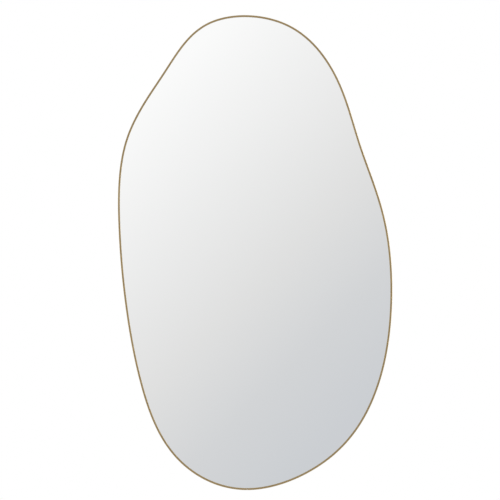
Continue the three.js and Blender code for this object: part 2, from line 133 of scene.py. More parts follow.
class ShaderBench:
    """A node tree and the few ways in which nodes are added to it."""

    def __init__(self, tree: bpy.types.NodeTree) -> None:
        """Starts with the tree of a material or of the world, and empties it."""
        self.tree = tree
        tree.nodes.clear()

    def node(
        self, kind: str, settings: Mapping[str, object], inputs: Sockets, output: Union[int, str] = 0
    ) -> Signal:
        """Adds a node.

        Args:
            kind: The node's type.
            settings: Its settings, set first. Stops are (place, colour) pairs of a ramp.
            inputs: A value or a signal for each socket.
            output: The output to hand back.

        Returns:
            The output's signal.
        """
        made = self.tree.nodes.new(kind)
        for name, setting in settings.items():
            if name == "stops":
                self._set_stops(made.color_ramp, setting)
            else:
                setattr(made, name, setting)
        for key, value in inputs.items():
            if isinstance(value, Signal):
                self.tree.links.new(value.socket, made.inputs[key])
            else:
                made.inputs[key].default_value = value
        return Signal(self, made.outputs[output] if len(made.outputs) else made.inputs[0])

    @staticmethod
    def _set_stops(ramp: bpy.types.ColorRamp, stops: Sequence[tuple[float, Colour]]) -> None:
        """Gives a ramp its stops.

        Args:
            ramp: The ramp.
            stops: Pairs of a place and a colour.
        """
        while len(ramp.elements) < len(stops):
            ramp.elements.new(1.0)
        for element, stop in zip(ramp.elements, stops):
            element.position, element.color = stop

    def stretched(self, vector: Signal, scales: Triple) -> Signal:
        """A vector with each of its parts scaled."""
        return self.node("ShaderNodeVectorMath", {"operation": "MULTIPLY"}, {0: vector, 1: scales})

    def noise(
        self, vector: Signal, scale: Union[float, Triple], detail: float = 2.0, rough: float = 0.5
    ) -> Signal:
        """Soft noise from 0 to 1.

        Args:
            vector: Where it is read.
            scale: Lumps to a metre, the same every way or along each axis.
            detail: How many finer layers it has.
            rough: How strong those are.

        Returns:
            The noise.
        """
        if isinstance(scale, tuple):
            vector, scale = self.stretched(vector, scale), 1.0
        values = {"Vector": vector, "Scale": scale, "Detail": detail, "Roughness": rough}
        return self.node("ShaderNodeTexNoise", {}, values)

    def cells(self, vector: Signal, scale: float) -> Signal:
        """A pattern of cells: how far it is to the middle of the nearest."""
        return self.node("ShaderNodeTexVoronoi", {}, {"Vector": vector, "Scale": scale}, "Distance")

    def step(self, value: Signal, low: float, high: float) -> Signal:
        """Rises softly from 0 to 1 between two values, or falls where low is the greater.

        Args:
            value: What is read.
            low: Where it is 0.
            high: Where it is 1.

        Returns:
            The step.
        """
        settings = {"interpolation_type": "SMOOTHSTEP", "clamp": True}
        start, end = (0.0, 1.0) if low <= high else (1.0, 0.0)
        inputs = {0: value, 1: min(low, high), 2: max(low, high), 3: start, 4: end}
        return self.node("ShaderNodeMapRange", settings, inputs)

    def ramp(self, value: Signal, low: float, high: float, stops: Sequence[tuple[float, Colour]]) -> Signal:
        """Colours laid out evenly between two values."""
        share = self.node("ShaderNodeMapRange", {"clamp": True}, {0: value, 1: low, 2: high})
        return self.node("ShaderNodeValToRGB", {"stops": stops}, {0: share})

    def blend(self, factor: Value, first: Union[Colour, Signal], second: Union[Colour, Signal]) -> Signal:
        """Goes from the first colour to the second."""
        return self.node("ShaderNodeMix", {"data_type": "RGBA"}, {0: factor, 6: first, 7: second}, 2)

    def bump(self, height: Signal, depth: float, strength: float = 1.0) -> Signal:
        """A normal from a height whose 1 stands for the depth in metres."""
        return self.node("ShaderNodeBump", {}, {"Height": height, "Distance": depth, "Strength": strength})

    def axes(self, vector: Signal) -> tuple[Signal, Signal, Signal]:
        """The three parts of a vector."""
        parted = self.node("ShaderNodeSeparateXYZ", {}, {0: vector})
        return parted, parted.output("Y"), parted.output("Z")


# ---------------- finishes


@dataclass(frozen=True)
class Finish:
    """What all finishes share. Each is made into one material, which its pieces share."""

    def weave(self, bench: ShaderBench, place: Signal) -> Sockets:
        """Adds the finish's nodes and gives what each socket of its shader takes."""
        raise NotImplementedError

    def material(self) -> bpy.types.Material:
        """The finish as a material, made at its first use.

        Returns:
            The material, named after the finish.
        """
        name = type(self).__name__
        made = bpy.data.materials.get(name)
        if not made:
            made = bpy.data.materials.new(name)
            made.use_nodes = True
            bench = ShaderBench(made.node_tree)
            source = {"attribute_type": "GEOMETRY", "attribute_name": OWN_PLACE}
            place = bench.node("ShaderNodeAttribute", source, {}, "Vector")
            shader = bench.node("ShaderNodeBsdfPrincipled", {}, self.weave(bench, place))
            bench.node("ShaderNodeOutputMaterial", {}, {"Surface": shader})
        return made


@dataclass(frozen=True)
class ChampagneAnodised(Finish):
    """Satin champagne-gold anodising on a drawn bar: die lines along the bar and a fine etched grain."""

    colour: Colour = paint(0.684, 0.598, 0.436)
    deep_colour: Colour = paint(0.644, 0.556, 0.394)
    worn_colour: Colour = paint(0.715, 0.64, 0.52)
    roughness: float = 0.29
    edge_inset: float = 0.5 * MM  # the worn strip's width
    edge_levels: tuple[float, float] = (24.5 * MM, 25.0 * MM)  # between which the wear sets in

    def weave(self, bench: ShaderBench, place: Signal) -> Sockets:
        """Lines and faint bands along the bar, an etched grain, and rubs on the front's outer edge.

        Args:
            bench: Where the nodes go.
            place: The place on the piece as it was before it was bent and placed.

        Returns:
            A value or a signal for each socket of the principled shader.
        """
        _, inset, level = bench.axes(place)
        die_lines = bench.noise(place, (5.0, 2400.0, 2400.0), 3.0, 0.6)
        faint_bands = bench.noise(place, (1.2, 420.0, 420.0), 1.0)
        etched = bench.noise(place, 5200.0, rough=0.6)
        cloud = bench.noise(place, 14.0, 3.0)
        tone = 0.45 * cloud + 0.3 * die_lines + 0.25 * faint_bands
        bright = bench.blend(bench.step(tone, 0.3, 0.7), self.deep_colour, self.colour)
        outer_edge = bench.step(inset, self.edge_inset, 0.0) * bench.step(level, *self.edge_levels)
        rubs = bench.step(bench.noise(place, (420.0, 1500.0, 1500.0), 4.0, 0.7), 0.54, 0.74)
        worn = outer_edge * rubs * 0.4
        height = 0.6 * die_lines + 0.25 * faint_bands + 0.15 * etched
        return {
            "Base Color": bench.blend(worn, bright, self.worn_colour),
            "Metallic": 1.0,
            "Roughness": self.roughness + 0.09 * die_lines + 0.05 * etched - 0.06 * worn,
            "Normal": bench.bump(height, 4e-6, 0.8),
        }


@dataclass(frozen=True)
class SilveredGlass(Finish):
    """The mirror's face: silver seen through clear glass, with the faintest wipe marks."""

    colour: Colour = paint(0.970, 0.971, 0.970)
    far_colour: Colour = paint(0.966, 0.968, 0.967)

    def weave(self, bench: ShaderBench, place: Signal) -> Sockets:
        """A faint drift of tone, wipe marks and a few specks.

        Args:
            bench: Where the nodes go.
            place: The place on the piece as it was before it was bent and placed.

        Returns:
            A value or a signal for each socket of the principled shader.
        """
        wipes = bench.step(bench.noise(place, (26.0, 9.0, 1.0), 5.0, 0.65), 0.5, 0.8)
        specks = bench.step(bench.cells(place, 55.0), 0.03, 0.012)
        return {
            "Base Color": bench.blend(bench.noise(place, 3.0), self.colour, self.far_colour),
            "Metallic": 1.0,
            "Roughness": 0.004 + 0.012 * wipes + 0.05 * specks,
            "IOR": GLASS_INDEX,
        }


@dataclass(frozen=True)
class GroundGlassEdge(Finish):
    """The sheet's edge and arris: green in the depth of the glass, ground with a fine wheel."""

    colour: Colour = paint(0.42, 0.60, 0.53)
    pale_colour: Colour = paint(0.62, 0.75, 0.70)
    roughness: float = 0.32

    def weave(self, bench: ShaderBench, place: Signal) -> Sockets:
        """The wheel's marks across the edge, and grit.

        Args:
            bench: Where the nodes go.
            place: The place on the piece as it was before it was bent and placed.

        Returns:
            A value or a signal for each socket of the principled shader.
        """
        wheel = bench.noise(place, (260.0, 260.0, 4200.0), 3.0)
        grit = bench.noise(place, 3600.0)
        return {
            "Base Color": bench.blend(wheel, self.colour, self.pale_colour),
            "Roughness": self.roughness + 0.25 * grit,
            "IOR": GLASS_INDEX,
            "Normal": bench.bump(0.5 * wheel + 0.5 * grit, 1.2e-5),
        }


@dataclass(frozen=True)
class MirrorBackPaint(Finish):
    """The grey protective paint over the silver: curtain-coated, with a slight peel."""

    colour: Colour = paint(0.43, 0.47, 0.49)
    dark_colour: Colour = paint(0.38, 0.42, 0.45)

    def weave(self, bench: ShaderBench, place: Signal) -> Sockets:
        """Peel, over soft clouds of tone.

        Args:
            bench: Where the nodes go.
            place: The place on the piece as it was before it was bent and placed.

        Returns:
            A value or a signal for each socket of the principled shader.
        """
        peel = bench.noise(place, 320.0)
        return {
            "Base Color": bench.blend(bench.noise(place, 22.0, 3.0), self.dark_colour, self.colour),
            "Roughness": 0.38 + 0.12 * peel,
            "Normal": bench.bump(peel, 2.0e-5),
        }


@dataclass(frozen=True)
class ClosedCellFoam(Finish):
    """White packing foam with closed cells half a millimetre across."""

    colour: Colour = paint(0.92, 0.915, 0.895)
    # The colour of the painted shade in the creases between the cells.
    painted_crease_shade_colour: Colour = paint(0.84, 0.835, 0.81)
    cells_to_metre: float = 2100.0

    def weave(self, bench: ShaderBench, place: Signal) -> Sockets:
        """Domed cells, with painted shade in the creases between them.

        Args:
            bench: Where the nodes go.
            place: The place on the piece as it was before it was bent and placed.

        Returns:
            A value or a signal for each socket of the principled shader.
        """
        walls = bench.cells(place, self.cells_to_metre)
        uneven = bench.noise(place, 90.0, 3.0)
        # Painted shade: darker towards each cell's walls, where the domes of the bump meet. The uneven noise
        # adds random tone.
        light = bench.step(walls, 0.65, 0.2) * 0.7 + 0.3 * uneven
        return {
            "Base Color": bench.blend(light, self.painted_crease_shade_colour, self.colour),
            "Roughness": 0.82 + 0.1 * uneven,
            "Normal": bench.bump(1 - walls, 1.0e-4),
        }


@dataclass(frozen=True)
class BrownFibreboard(Finish):
    """Pressed brown fibreboard: matted fibres a few millimetres long, with light and dark flecks."""

    dark_colour: Colour = paint(0.485, 0.36, 0.24)
    middle_colour: Colour = paint(0.615, 0.475, 0.33)
    light_colour: Colour = paint(0.715, 0.58, 0.42)
    bark_colour: Colour = paint(0.30, 0.205, 0.125)
    fleck_colour: Colour = paint(0.80, 0.69, 0.53)
    lies: tuple[tuple[float, float], ...] = ((17.0, 0.0), (78.0, 0.31), (137.0, 0.67))  # degrees and shift

    def _fibres(self, bench: ShaderBench, place: Signal, degrees: float, shift: float) -> Signal:
        """Fibres that lie one way, wavering.

        Args:
            bench: Where the nodes go.
            place: Where the pattern is read.
            degrees: How far it is turned.
            shift: How far it is moved, so that no two are alike.

        Returns:
            Noise from 0 to 1, drawn out along the fibres.
        """
        wander = bench.noise(place, 130.0).output("Color")
        reach = {0: wander, 1: (0.004,) * 3, 2: place}
        bent = bench.node("ShaderNodeVectorMath", {"operation": "MULTIPLY_ADD"}, reach)
        turn = {"Location": (shift, shift, 0.0), "Rotation": (0.0, 0.0, math.radians(degrees))}
        turned = bench.node("ShaderNodeMapping", {"vector_type": "POINT"}, {"Vector": bent, **turn})
        return bench.noise(turned, (340.0, 2600.0, 2600.0), rough=0.6)

    def weave(self, bench: ShaderBench, place: Signal) -> Sockets:
        """Three layers of fibres, clouds, scraps of bark and pale flecks.

        Args:
            bench: Where the nodes go.
            place: The place on the piece as it was before it was bent and placed.

        Returns:
            A value or a signal for each socket of the principled shader.
        """
        first, second, third = (self._fibres(bench, place, *lie) for lie in self.lies)
        mat = 0.36 * first + 0.34 * second + 0.30 * third
        cloud = bench.noise(place, 38.0, 4.0, 0.6)
        tone = bench.step(0.92 * mat + 0.08 * cloud, 0.40, 0.62)
        base = bench.blend(tone, self.dark_colour, self.middle_colour)
        base = bench.blend(bench.step(mat, 0.5, 0.66) * 0.8, base, self.light_colour)
        bark = bench.step(bench.cells(bench.stretched(place, (1.0, 1.7, 1.0)), 240.0), 0.17, 0.07)
        base = bench.blend(bark * bench.step(first, 0.42, 0.6) * 0.75, base, self.bark_colour)
        fleck = bench.step(bench.cells(bench.stretched(place, (1.6, 1.0, 1.0)), 310.0), 0.15, 0.06)
        base = bench.blend(fleck * bench.step(second, 0.45, 0.6) * 0.6, base, self.fleck_colour)
        return {
            "Base Color": base,
            "Roughness": 0.64 + 0.16 * mat - 0.05 * cloud,
            "Specular IOR Level": 0.4,
            "Normal": bench.bump(mat, 6.0e-5, 0.8),
        }


@dataclass(frozen=True)
class SpringSteel(Finish):
    """Blue-grey tempered strip, with rolling lines along it and a little straw colour from the furnace."""

    colour: Colour = paint(0.52, 0.545, 0.58)
    straw_colour: Colour = paint(0.575, 0.55, 0.50)
    roughness: float = 0.26

    def weave(self, bench: ShaderBench, place: Signal) -> Sockets:
        """Rolling lines, patches of temper colour and scuffs.

        Args:
            bench: Where the nodes go.
            place: The place on the piece as it was before it was bent and placed.

        Returns:
            A value or a signal for each socket of the principled shader.
        """
        rolled = bench.noise(place, (22.0, 3600.0, 3600.0), 3.0, 0.6)
        temper = bench.step(bench.noise(place, 75.0), 0.42, 0.66)
        scuff = bench.step(bench.noise(place, 620.0, 4.0, 0.7), 0.6, 0.72)
        return {
            "Base Color": bench.blend(temper * 0.7, self.colour, self.straw_colour),
            "Metallic": 1.0,
            "Roughness": self.roughness + 0.14 * rolled + 0.12 * scuff,
            "Normal": bench.bump(0.7 * rolled + 0.3 * scuff, 6.0e-6),
        }


@dataclass(frozen=True)
class BrightZinc(Finish):
    """Bright zinc plate: a bluish, faintly clouded shine with fine barrel scratches."""

    colour: Colour = paint(0.77, 0.79, 0.815)
    warm_colour: Colour = paint(0.785, 0.775, 0.74)
    dull_colour: Colour = paint(0.69, 0.715, 0.75)
    roughness: float = 0.22

    def weave(self, bench: ShaderBench, place: Signal) -> Sockets:
        """Clouds, patches of a warmer hue, and scratches two ways.

        Args:
            bench: Where the nodes go.
            place: The place on the piece as it was before it was bent and placed.

        Returns:
            A value or a signal for each socket of the principled shader.
        """
        cloud = bench.noise(place, 210.0, 3.0, 0.6)
        hue = bench.step(bench.noise(place, 95.0), 0.45, 0.68)
        one_way = bench.step(bench.noise(place, (420.0, 9000.0, 5200.0)), 0.62, 0.74)
        other_way = bench.step(bench.noise(place, (8200.0, 520.0, 6100.0)), 0.63, 0.75)
        scratches = one_way + other_way
        base = bench.blend(bench.step(cloud, 0.35, 0.7), self.dull_colour, self.colour)
        return {
            "Base Color": bench.blend(hue * 0.35, base, self.warm_colour),
            "Metallic": 1.0,
            "Roughness": self.roughness + 0.12 * cloud + 0.1 * scratches,
            "Normal": bench.bump(0.7 * cloud - 0.3 * scratches, 7.0e-6),
        }


@dataclass(frozen=True)
class BlackOxide(Finish):
    """Blackened steel with an oily sheen, rubbed grey in places."""

    colour: Colour = paint(0.155, 0.16, 0.17)
    rubbed_colour: Colour = paint(0.34, 0.345, 0.355)

    def weave(self, bench: ShaderBench, place: Signal) -> Sockets:
        """Grain and rubs.

        Args:
            bench: Where the nodes go.
            place: The place on the piece as it was before it was bent and placed.

        Returns:
            A value or a signal for each socket of the principled shader.
        """
        grain = bench.noise(place, 2600.0, 3.0, 0.6)
        rub = bench.step(bench.noise(place, 900.0, 3.0), 0.56, 0.7)
        return {
            "Base Color": bench.blend(rub * 0.6, self.colour, self.rubbed_colour),
            "Metallic": 0.85,
            "Roughness": 0.34 + 0.18 * grain,
            "Normal": bench.bump(grain, 8.0e-6),
        }


@dataclass(frozen=True)
class ClearRubber(Finish):
    """Soft clear bumper: milky, with a satin moulded skin and a trace of dust."""

    colour: Colour = paint(0.78, 0.775, 0.74)
    dust_colour: Colour = paint(0.73, 0.72, 0.68)

    def weave(self, bench: ShaderBench, place: Signal) -> Sockets:
        """Skin and dust, over rubber that lets a little light in.

        Args:
            bench: Where the nodes go.
            place: The place on the piece as it was before it was bent and placed.

        Returns:
            A value or a signal for each socket of the principled shader.
        """
        skin = bench.noise(place, 1500.0, 3.0)
        dust = bench.step(bench.noise(place, 700.0, 4.0, 0.7), 0.5, 0.72)
        return {
            "Base Color": bench.blend(dust * 0.6, self.colour, self.dust_colour),
            "Roughness": 0.2 + 0.15 * skin + 0.15 * dust,
            "IOR": 1.46,
            "Subsurface Weight": 0.6,
            "Subsurface Radius": (1.0, 1.0, 1.0),
            "Subsurface Scale": 0.0012,
            "Normal": bench.bump(skin, 1.5e-5),
        }


# ---------------- modelling tools


class Part(Enum):
    """What is picked in edit mode."""

    EDGES = "EDGE"
    FACES = "FACE"


class Body(Enum):
    """What a piece moves with."""

    MIRROR = "mirror"
    LEFT_RING = "left_ring"
    RIGHT_RING = "right_ring"


RIGHT, UP, OUT = Vector((1, 0, 0)), Vector((0, 1, 0)), Vector((0, 0, 1))
Test = Callable[[Vector], bool]


def anything(one: object) -> bool:
    """The test that everything passes."""
    return True


def middle(edge: bmesh.types.BMEdge) -> Vector:
    """The middle of an edge."""
    return (edge.verts[0].co + edge.verts[1].co) / 2


def runs_along(edge: bmesh.types.BMEdge, axis: Vector) -> bool:
    """Whether an edge runs along an axis."""
    way = edge.verts[1].co - edge.verts[0].co
    return way.length > 0 and abs(way.normalized().dot(axis)) > PARALLEL


def looks(face: Union[bmesh.types.BMFace, bpy.types.MeshPolygon], way: Vector) -> bool:
    """Whether a face looks one way."""
    return face.normal.dot(way) > FACING


def is_sharp(edge: bmesh.types.BMEdge) -> bool:
    """Whether the faces at an edge meet at more than a radian."""
    return edge.calc_face_angle(0.0) > 1.0


def is_near(value: float, target: float) -> bool:
    """Whether two lengths are the same, as near as a mesh holds them."""
    return abs(value - target) < 0.01 * MM


class Workpiece:
    """A mesh on the bench, and the tools that shape it."""

    merge_distance = 0.004 * MM  # corners closer than this become one

    def __init__(self, name: str) -> None:
        """Takes the object that an operator has just made.

        Args:
            name: The piece's name.
        """
        self.object, self.name = bpy.context.object, name
        self.object.name = self.object.data.name = f"{name}_look"
        self._settle()

    @staticmethod
    def clear_bench() -> None:
        """Back to object mode, with nothing selected."""
        active = bpy.context.view_layer.objects.active
        if active and active.mode != "OBJECT":
            bpy.ops.object.mode_set(mode="OBJECT")
        bpy.ops.object.select_all(action="DESELECT")

    @classmethod
    def block(cls, name: str, low: Triple, high: Triple) -> "Workpiece":
        """A block.

        Args:
            name: The piece's name.
            low: Its lowest corner.
            high: Its highest corner.

        Returns:
            The piece.
        """
        cls.clear_bench()
        low, high = Vector(low), Vector(high)
        bpy.ops.mesh.primitive_cube_add(size=1.0, location=(low + high) / 2, scale=high - low)
        return cls(name)

    @classmethod
    def rod(cls, name: str, radius: float, low: float, high: float, sides: int = ROUND_SIDES) -> "Workpiece":
        """A round or flat-sided rod along z.

        Args:
            name: The piece's name.
            radius: Its radius.
            low: Its lower end.
            high: Its upper end.
            sides: Its sides.

        Returns:
            The piece.
        """
        cls.clear_bench()
        spot = (0, 0, (low + high) / 2)
        bpy.ops.mesh.primitive_cylinder_add(vertices=sides, radius=radius, depth=high - low, location=spot)
        return cls(name)

    @classmethod
    def disc(
        cls, name: str, radius: float, sides: int, centre: Triple = (0, 0, 0), turn: Triple = (0, 0, 0)
    ) -> "Workpiece":
        """A flat disc of one face.

        Args:
            name: The piece's name.
            radius: Its radius.
            sides: Its sides.
            centre: Its middle.
            turn: Its turn about x, y and z, in radians.

        Returns:
            The piece.
        """
        cls.clear_bench()
        bpy.ops.mesh.primitive_circle_add(
            vertices=sides, radius=radius, fill_type="NGON", location=centre, rotation=turn
        )
        return cls(name)

    def focus(self) -> None:
        """Makes this the only selected object, in object mode."""
        self.clear_bench()
        self.object.select_set(True)
        bpy.context.view_layer.objects.active = self.object

    def _settle(self) -> None:
        """Puts the object's own place, turn and scale into its mesh."""
        self.focus()
        bpy.ops.object.transform_apply(location=True, rotation=True, scale=True)

    def pick(self, part: Part, test: Callable[[object], bool]) -> None:
        """Selects in edit mode what passes a test, and nothing else.

        Args:
            part: Edges or faces.
            test: Says of one edge or face whether it is meant.
        """
        self.focus()
        bpy.ops.object.mode_set(mode="EDIT")
        bpy.ops.mesh.select_mode(type=part.value)
        bpy.ops.mesh.select_all(action="DESELECT")
        mesh = bmesh.from_edit_mesh(self.object.data)
        mesh.normal_update()
        for one in mesh.edges if part is Part.EDGES else mesh.faces:
            if test(one):
                one.select_set(True)
        mesh.select_flush_mode()
        bmesh.update_edit_mesh(self.object.data)

    def pick_facing(self, way: Vector, test: Test = anything) -> None:
        """Picks the faces that look one way and whose middle passes a test."""
        self.pick(Part.FACES, lambda face: looks(face, way) and test(face.calc_center_median()))

    def pick_along(self, axis: Vector, test: Test = anything) -> None:
        """Picks the edges that run along an axis and whose middle passes a test."""
        self.pick(Part.EDGES, lambda edge: runs_along(edge, axis) and test(middle(edge)))

    def pick_sharp(self, level: Optional[float] = None) -> None:
        """Picks the sharp edges, or those of them at one level."""
        everywhere = level is None
        self.pick(Part.EDGES, lambda edge: is_sharp(edge) and (everywhere or is_near(middle(edge).z, level)))

    def pick_all(self) -> None:
        """Selects the whole mesh in edit mode."""
        self.focus()
        bpy.ops.object.mode_set(mode="EDIT")
        bpy.ops.mesh.select_mode(type="FACE")
        bpy.ops.mesh.select_all(action="SELECT")

    @staticmethod
    def extrude(way: Sequence[float]) -> None:
        """Extrudes the picked faces."""
        bpy.ops.mesh.extrude_region_move(TRANSFORM_OT_translate={"value": tuple(way)})

    @staticmethod
    def inset(width: float) -> None:
        """Insets the picked faces."""
        bpy.ops.mesh.inset(thickness=width, use_even_offset=True)

    @staticmethod
    def shrink(share: float) -> None:
        """Scales the picked faces about their middle."""
        bpy.ops.transform.resize(value=(share, share, share))

    @staticmethod
    def bevel(width: float, segments: int) -> None:
        """Rounds the picked edges."""
        bpy.ops.mesh.bevel(offset=width, offset_type="OFFSET", segments=segments, affect="EDGES")

    @staticmethod
    def divide(cuts: int) -> None:
        """Divides the picked edges, and the faces between them."""
        bpy.ops.mesh.subdivide(number_cuts=cuts)

    @staticmethod
    def spin(centre: Sequence[float], axis: Vector, degrees: float, steps: int) -> None:
        """Carries the picked face round an axis, right-handed."""
        bpy.ops.mesh.spin(steps=steps, angle=math.radians(degrees), center=tuple(centre), axis=tuple(-axis))

    def slice(self, level: float) -> None:
        """Marks a cut right through at a level, and takes nothing away."""
        self.pick_all()
        bpy.ops.mesh.bisect(plane_co=(0, 0, level), plane_no=OUT)

    def join_flats(self) -> None:
        """Dissolves the marks between faces that lie in one plane."""
        self.pick_all()
        bpy.ops.mesh.dissolve_limited(angle_limit=math.radians(1.0))

    def face_outwards(self) -> None:
        """Merges doubles and makes all faces point outwards."""
        self.pick_all()
        bpy.ops.mesh.remove_doubles(threshold=1e-7)
        bpy.ops.mesh.normals_make_consistent(inside=False)

    def work(self, kind: str, **settings: object) -> None:
        """Adds a modifier and applies it.

        Args:
            kind: The modifier's type.
            settings: Its settings.
        """
        self.focus()
        bpy.ops.object.modifier_add(type=kind)
        added = self.object.modifiers[-1]
        for name, value in settings.items():
            setattr(added, name, value)
        bpy.ops.object.modifier_apply(modifier=added.name)

    def cut_away(self, tool: "Workpiece") -> None:
        """Takes the tool's shape out of this, and takes the tool off the bench."""
        self.work("BOOLEAN", operation="DIFFERENCE", solver="EXACT", object=tool.object)
        bpy.data.objects.remove(tool.object)

    def drill(self, radius: float, spot: Triple, low: float, high: float, lean: float = 0.0) -> None:
        """Cuts a round hole.

        Args:
            radius: Its radius.
            spot: A place on its axis.
            low: How far it starts from that place.
            high: How far it ends from that place.
            lean: The turn of its axis about x, away from z.
        """
        bit = Workpiece.rod("drill", radius, low, high)
        bit.place(spot, lean=lean)
        self.cut_away(bit)

    def break_edges(self, width: float, segments: int = 2, degrees: float = 35.0) -> None:
        """Rounds every edge that is sharper than an angle."""
        limits = {"limit_method": "ANGLE", "angle_limit": math.radians(degrees), "use_clamp_overlap": True}
        self.work("BEVEL", width=width, segments=segments, **limits)

    def note_place(self) -> None:
        """Keeps each corner's present place for the finish to read."""
        self.clear_bench()
        mesh = self.object.data
        noted = mesh.attributes.new(OWN_PLACE, "FLOAT_VECTOR", "POINT")
        noted.data.foreach_set("vector", [part for corner in mesh.vertices for part in corner.co])

    def move_corners(self, to: Callable[[Vector], Vector]) -> None:
        """Moves every corner.

        Args:
            to: Says where a corner goes.
        """
        self.clear_bench()
        for corner in self.object.data.vertices:
            corner.co = to(corner.co)
        self.object.data.update()

    def place(self, spot: Sequence[float], turn: float = 0.0, lean: float = 0.0) -> None:
        """Leans, turns and moves the piece, and puts all that into its mesh.

        Args:
            spot: Where it goes.
            turn: Its turn about z.
            lean: Its turn about x, which comes first.
        """
        turned = Matrix.Rotation(turn, 4, "Z") @ Matrix.Rotation(lean, 4, "X")
        self.object.matrix_world = Matrix.Translation(spot) @ turned
        self._settle()

    def dress(self, finish: Finish, test: Callable[[bpy.types.MeshPolygon], bool] = anything) -> None:
        """Gives the piece a finish. The first one also notes its place, unless that is done.

        Args:
            finish: The finish.
            test: Says of a face whether it takes the finish.
        """
        self.clear_bench()
        mesh = self.object.data
        if OWN_PLACE not in mesh.attributes:
            self.note_place()
        mesh.materials.append(finish.material())
        for face in mesh.polygons:
            if test(face):
                face.material_index = len(mesh.materials) - 1

    def finish(
        self, slot: str, body: Body = Body.MIRROR, smooth_degrees: float = 40.0, weighted: bool = True
    ) -> None:
        """Smooths the piece, stands it up, hangs it on its body's empty and hides the imported node that it
        stands in for.

        Args:
            slot: Not used.
            body: What it moves with.
            smooth_degrees: Edges sharper than this stay sharp.
            weighted: Whether the larger faces lead the shading.
        """
        self.pick_all()
        bpy.ops.mesh.remove_doubles(threshold=self.merge_distance)
        self.clear_bench()
        self.object.matrix_world = Matrix.Rotation(QUARTER, 4, "X")
        self._settle()
        bpy.ops.object.shade_smooth_by_angle(angle=math.radians(smooth_degrees))
        if weighted:
            self.work("WEIGHTED_NORMAL", mode="FACE_AREA", weight=50, keep_sharp=True)
        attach(self.object, body.value)
        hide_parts(self.name)
        self._report()

    def set_out(
        self,
        name: str,
        slot: str,
        spot: Vector,
        turn: float = 0.0,
        lean: float = 0.0,
        body: Body = Body.MIRROR,
    ) -> None:
        """Places and finishes a copy with its own mesh.

        Args:
            name: The copy's name.
            slot: Passed on to finish, which does not use it.
            spot: Where it goes.
            turn: Its turn about z.
            lean: Its turn about x, which comes first.
            body: What it moves with.
        """
        self.focus()
        bpy.ops.object.duplicate(linked=False)
        copy = Workpiece(name)
        copy.place(spot, turn, lean)
        copy.finish(slot, body)

    def put_away(self) -> None:
        """Takes the pattern that copies were made from off the bench."""
        self.clear_bench()
        bpy.data.objects.remove(self.object)

    def _report(self) -> None:
        """Logs the piece's face count and how far its box is from its node's."""
        mesh = self.object.data
        ranks = list(zip(*(corner.co for corner in mesh.vertices)))
        box = [*map(min, ranks), *map(max, ranks)]
        node_low, node_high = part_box(self.name)
        apart = max(abs(own - packed) for own, packed in zip(box, [*node_low, *node_high]))
        log.info("%s: %d faces, box within %.3f mm", self.object.name, len(mesh.polygons), apart / MM)


# ---------------- the outline and the levels


def place_weights(f: float) -> Sequence[float]:
    """How much each of the four nearest controls counts for the place, at a share of the middle stretch."""
    return (1 - f) ** 3 / 6, (3 * f**3 - 6 * f**2 + 4) / 6, (-3 * f**3 + 3 * f**2 + 3 * f + 1) / 6, f**3 / 6


def heading_weights(f: float) -> Sequence[float]:
    """The same for the direction."""
    return -((1 - f) ** 2) / 2, (3 * f**2 - 4 * f) / 2, (-3 * f**2 + 2 * f + 1) / 2, f**2 / 2


